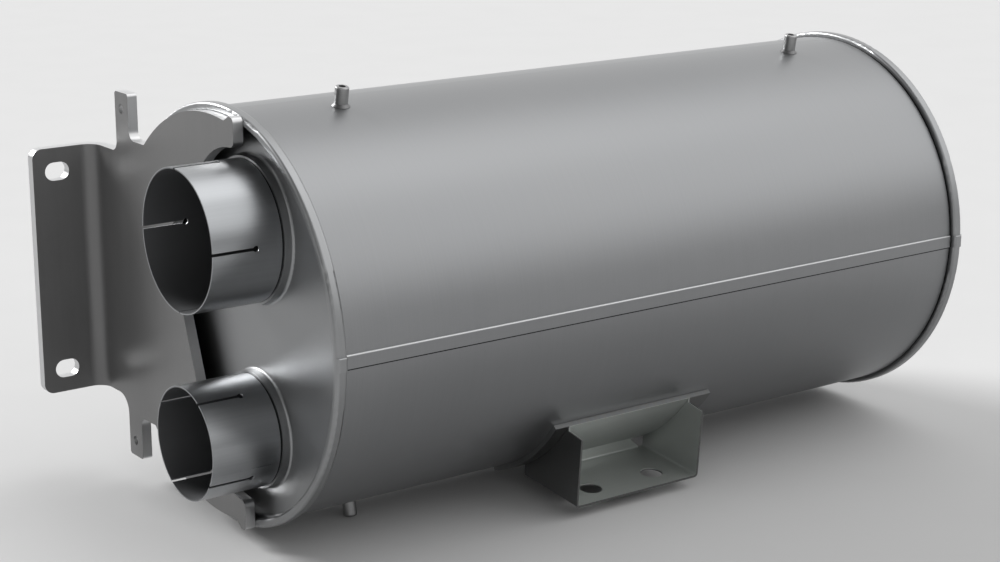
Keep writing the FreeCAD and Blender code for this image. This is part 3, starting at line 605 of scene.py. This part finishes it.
# %% [markdown]
# ## The bosses
# The bosses are turned on a lathe, which leaves fine rings about their own axis, close to
# Z. Fresh turning is brighter than rolled sheet. The foot, where a boss is welded to the
# shell, is painted darker as painted shade in the crease against the shell, and a mask
# finds it by its height over the shell.

# %% Bosses
FOOT_HEIGHT = 2.7 * MM
# Painted shade for the boss feet.
FOOT_PAINTED_SHADE = (0.15, 0.15, 0.152)

boss_steel = steel_material(
    "boss_steel", (0.30, 0.302, 0.305), (0.34, 0.34, 0.34), (60, 60, 2600),
    rough=0.38, grain=0.08, cloud=30.0)
tree = boss_steel.node_tree
axes = object_axes(tree)
radius = distance_from(tree, axes.outputs["Y"], axes.outputs["Z"], AXIS_Y, AXIS_Z)
shaded_foot = math_node(tree, "LESS_THAN", radius, SHELL_RADIUS + FOOT_HEIGHT)
# Painted shade on the foot of each boss, against the shell.
paint(tree, shaded_foot, FOOT_PAINTED_SHADE)
dress(boss_steel, "boss_top_near", "boss_top_far", "boss_bottom")

# %% [markdown]
# ## Inside the drum
# Nothing of the inside shows in the picture, but the model is a whole muffler and its
# parts can be shown one by one. The baffles, cans, liner and outlet tube are plain dull
# sheet, a little warmer than the outside because it has been hot.

# %% Inner steel
inner_steel = steel_material(
    "inner_steel", (0.21, 0.205, 0.198), (0.25, 0.243, 0.235), (300, 30, 30),
    rough=0.48, grain=0.05, cloud=10.0)
dress(inner_steel, "baffle_near", "baffle_mid", "baffle_far", "catalyst_can_left",
      "catalyst_can_right", "outlet_tube", "inner_liner")

# %% [markdown]
# The mats are needled fibre. Two noises, each squeezed in other directions, lie across
# each other like strands, and the higher of the two is on top. The same strands give the
# colour, from the shade between them to the pale fibre, and the bump.

# %% Fibre mats
STRAND_STRETCHES = ((900, 120, 900), (120, 900, 500))
SHADE_FROM = 0.42
PALE_FROM = 0.72
FIBRE_SHADE = (0.56, 0.53, 0.46)
FIBRE_PALE = (0.84, 0.82, 0.76)
STRAND_HEIGHT = 0.4 * MM


def fibre_material():
    """Needled fibre: short curly strands from two crossed, stretched noises."""
    material, tree, shader = new_material("fibre_mat")
    shader.inputs["Roughness"].default_value = 0.95
    shader.inputs["Sheen Weight"].default_value = 0.3
    place = add(tree, "TexCoord")
    layers = []
    for stretch in STRAND_STRETCHES:
        mapping = add(tree, "Mapping", Scale=stretch)
        strands = add(tree, "TexNoise", Scale=1.0, Detail=4.0, Distortion=0.8)
        tree.links.new(place.outputs["Object"], mapping.inputs["Vector"])
        tree.links.new(mapping.outputs[0], strands.inputs["Vector"])
        layers.append(strands.outputs["Fac"])
    top = any_of(tree, *layers)
    ramp = add(tree, "ValToRGB")
    shade, pale = ramp.color_ramp.elements
    shade.position, shade.color = SHADE_FROM, (*FIBRE_SHADE, 1)
    pale.position, pale.color = PALE_FROM, (*FIBRE_PALE, 1)
    bump = add(tree, "Bump", Strength=0.6, Distance=STRAND_HEIGHT)
    tree.links.new(top, ramp.inputs["Fac"])
    tree.links.new(ramp.outputs["Color"], shader.inputs["Base Color"])
    tree.links.new(top, bump.inputs["Height"])
    tree.links.new(bump.outputs["Normal"], shader.inputs["Normal"])
    return material


dress(fibre_material(), "insulation_mat", "support_mat_left", "support_mat_right")

# %% [markdown]
# A monolith is extruded ceramic with a square grid of channels along X, twenty to the
# inch. Dividing Y and Z by the pitch and folding each back at the half gives the distance
# to the nearest wall, so one comparison tells wall from channel. Half a wall is given as
# a share of the pitch.

# %% Monoliths
CELL_PITCH = 1.27 * MM
HALF_WALL = 0.09
CERAMIC_DEEP = (0.66, 0.60, 0.49)
CERAMIC_PALE = (0.78, 0.72, 0.60)
# Painted shade: the channels are painted dark for the shade inside them.
CHANNEL_PAINTED_SHADE = (0.16, 0.14, 0.11)


def ceramic_material():
    """Extruded ceramic, pale and chalky, with a square grid of channels painted dark as
    shade.
    """
    material, tree, shader = new_material("monolith_ceramic")
    shader.inputs["Roughness"].default_value = 0.85
    place = add(tree, "TexCoord")
    axes = object_axes(tree)
    to_wall = []
    for axis in ("Y", "Z"):
        cells = math_node(tree, "DIVIDE", axes.outputs[axis], CELL_PITCH)
        to_wall.append(math_node(tree, "PINGPONG", cells, 0.5))
    nearest = math_node(tree, "MINIMUM", *to_wall)
    channel = math_node(tree, "GREATER_THAN", nearest, HALF_WALL)
    patches = add(tree, "TexNoise", Scale=35.0, Detail=3.0)
    tree.links.new(place.outputs["Object"], patches.inputs["Vector"])
    body = mix_colors(tree, patches.outputs["Fac"], CERAMIC_DEEP, CERAMIC_PALE)
    # Painted shade darkens the channels.
    face = mix_colors(tree, channel, body, CHANNEL_PAINTED_SHADE)
    tree.links.new(face, shader.inputs["Base Color"])
    return material


dress(ceramic_material(), "monolith_left", "monolith_right")

# %% [markdown]
# ## Floor
# The muffler stands on a plain pale floor. It reaches far past the picture's edges, so
# no edge of it shows, and it keeps the soft shadow that grounds the part. A very faint
# mottle stops the large pale surface from looking computed.

# %% Floor
FLOOR_HALF = 30.0
FLOOR_COLOR = (0.54, 0.54, 0.54)
FLOOR_MOTTLE = (0.56, 0.56, 0.56)
MOTTLE_SCALE = 9.0

bpy.ops.object.select_all(action="DESELECT")
bpy.ops.mesh.primitive_plane_add(size=2 * FLOOR_HALF, location=(0, 0, CAD_BOX[0][2]))
floor = bpy.context.object
floor.name = "floor"
bpy.ops.object.transform_apply(location=True)
floor_material, tree, shader = new_material("pale_floor")
shader.inputs["Roughness"].default_value = 0.9
shader.inputs["Specular IOR Level"].default_value = 0.0
place = add(tree, "TexCoord")
mottle = add(tree, "TexNoise", Scale=MOTTLE_SCALE, Detail=3.0)
tree.links.new(place.outputs["Object"], mottle.inputs["Vector"])
tone = mix_colors(tree, mottle.outputs["Fac"], FLOOR_COLOR, FLOOR_MOTTLE)
tree.links.new(tone, shader.inputs["Base Color"])
floor.data.materials.append(floor_material)
print("floor at %.1f mm" % (CAD_BOX[0][2] / MM))

# %% [markdown]
# ## Light
# Metal shows what stands around it, so the light is drawn as a sky. Seen from the camera,
# the drum mirrors one arch of that sky: from the floor in front, over the top and down
# behind, all on the far side from the pipes. The arch is a large soft light that is dim at
# the front horizon and bright above. The pipe side is much darker, except for a low light
# beside the camera that the rolled rims and the plate's bend mirror. Each pair of numbers
# below says where one soft step of the sky begins and ends, from -1 to 1 along an axis.

# %% The arch of soft light
SKY_FRONT_LOW = 0.45
SKY_FRONT_HIGH = 1.62
SKY_BACK = 1.08
PIPE_SIDE_SHARE = 0.2
NEAR_FRONT_SHARE = 0.78
FRONT_RISE = (-0.03, 0.44)
NEAR_FRONT_STEP = (0.5, 0.72)
FRONT_TO_BACK = (-0.35, 0.25)
PIPE_SIDE_STEP = (-0.35, 0.3)

world = bpy.data.worlds.new("studio")
bpy.context.scene.world = world
world.use_nodes = True
sky = world.node_tree
looking = add(sky, "TexCoord")
axes = add(sky, "SeparateXYZ")
sky.links.new(looking.outputs["Generated"], axes.inputs[0])
front = smooth(sky, axes.outputs["Z"], *FRONT_RISE, SKY_FRONT_LOW, SKY_FRONT_HIGH)
share = smooth(sky, axes.outputs["X"], *NEAR_FRONT_STEP, NEAR_FRONT_SHARE, 1.0)
front = math_node(sky, "MULTIPLY", front, share)
behind = smooth(sky, axes.outputs["Y"], *FRONT_TO_BACK, 0.0, 1.0)
back_part = math_node(sky, "MULTIPLY", behind, SKY_BACK)
before = math_node(sky, "SUBTRACT", 1.0, behind)
front_part = math_node(sky, "MULTIPLY", before, front)
arch = math_node(sky, "ADD", front_part, back_part)
side = smooth(sky, axes.outputs["X"], *PIPE_SIDE_STEP, PIPE_SIDE_SHARE, 1.0)
strength = math_node(sky, "MULTIPLY", arch, side)
darkest = SKY_FRONT_LOW * NEAR_FRONT_SHARE * PIPE_SIDE_SHARE
print("sky from %.2f to %.2f" % (darkest, SKY_FRONT_HIGH))

# %% [markdown]
# A glow is a round soft light in one direction. The dot product with that direction is 1
# at its middle and falls off around it, so one soft step of it draws the whole light.
# Each row gives a glow's direction, where it begins, where it is full, and its strength.

# %% Three glows
GLOWS = (
    ((0.62, -0.50, 0.60), 0.80, 0.98, 0.30),
    ((0.44, 0.02, 0.90), 0.91, 0.99, 1.08),
    ((-0.55, -0.80, 0.26), 0.72, 0.97, 0.55),
)


def glow(direction, edge, full, power):
    """A round soft light in that direction of the sky."""
    toward = reach(sky, looking.outputs["Generated"], Vector(direction).normalized())
    return smooth(sky, toward, edge, full, 0.0, power)


for row in GLOWS:
    strength = math_node(sky, "ADD", strength, glow(*row))
background = sky.nodes["Background"]
background.inputs["Color"].default_value = (1.0, 1.0, 1.0, 1)
sky.links.new(strength, background.inputs["Strength"])

# %% [markdown]
# One lamp stands behind the part on the pipe side. It lights the floor, so the background
# is pale, and the drum's shadow falls to the front, where the drum's lower half mirrors
# it and so stays darker. A wide lamp gives the shadow its soft edge.

# %% Back lamp
LAMP_DIRECTION = Vector((-0.36, 0.80, 0.48)).normalized()
LAMP_POWER = 3.7
LAMP_WIDTH = 24

lamp_data = bpy.data.lights.new("back_lamp", "SUN")
lamp_data.energy = LAMP_POWER
lamp_data.angle = math.radians(LAMP_WIDTH)
lamp = bpy.data.objects.new("back_lamp", lamp_data)
lamp.rotation_euler = LAMP_DIRECTION.to_track_quat("Z", "Y").to_euler()
bpy.context.scene.collection.objects.link(lamp)
print("lamp stands %.0f degrees high" % math.degrees(math.asin(LAMP_DIRECTION.z)))

# %% [markdown]
# ## Finish
# The view transform stays Standard, so that colours come out as they were set.

# %% View
bpy.context.scene.view_settings.view_transform = "Standard"
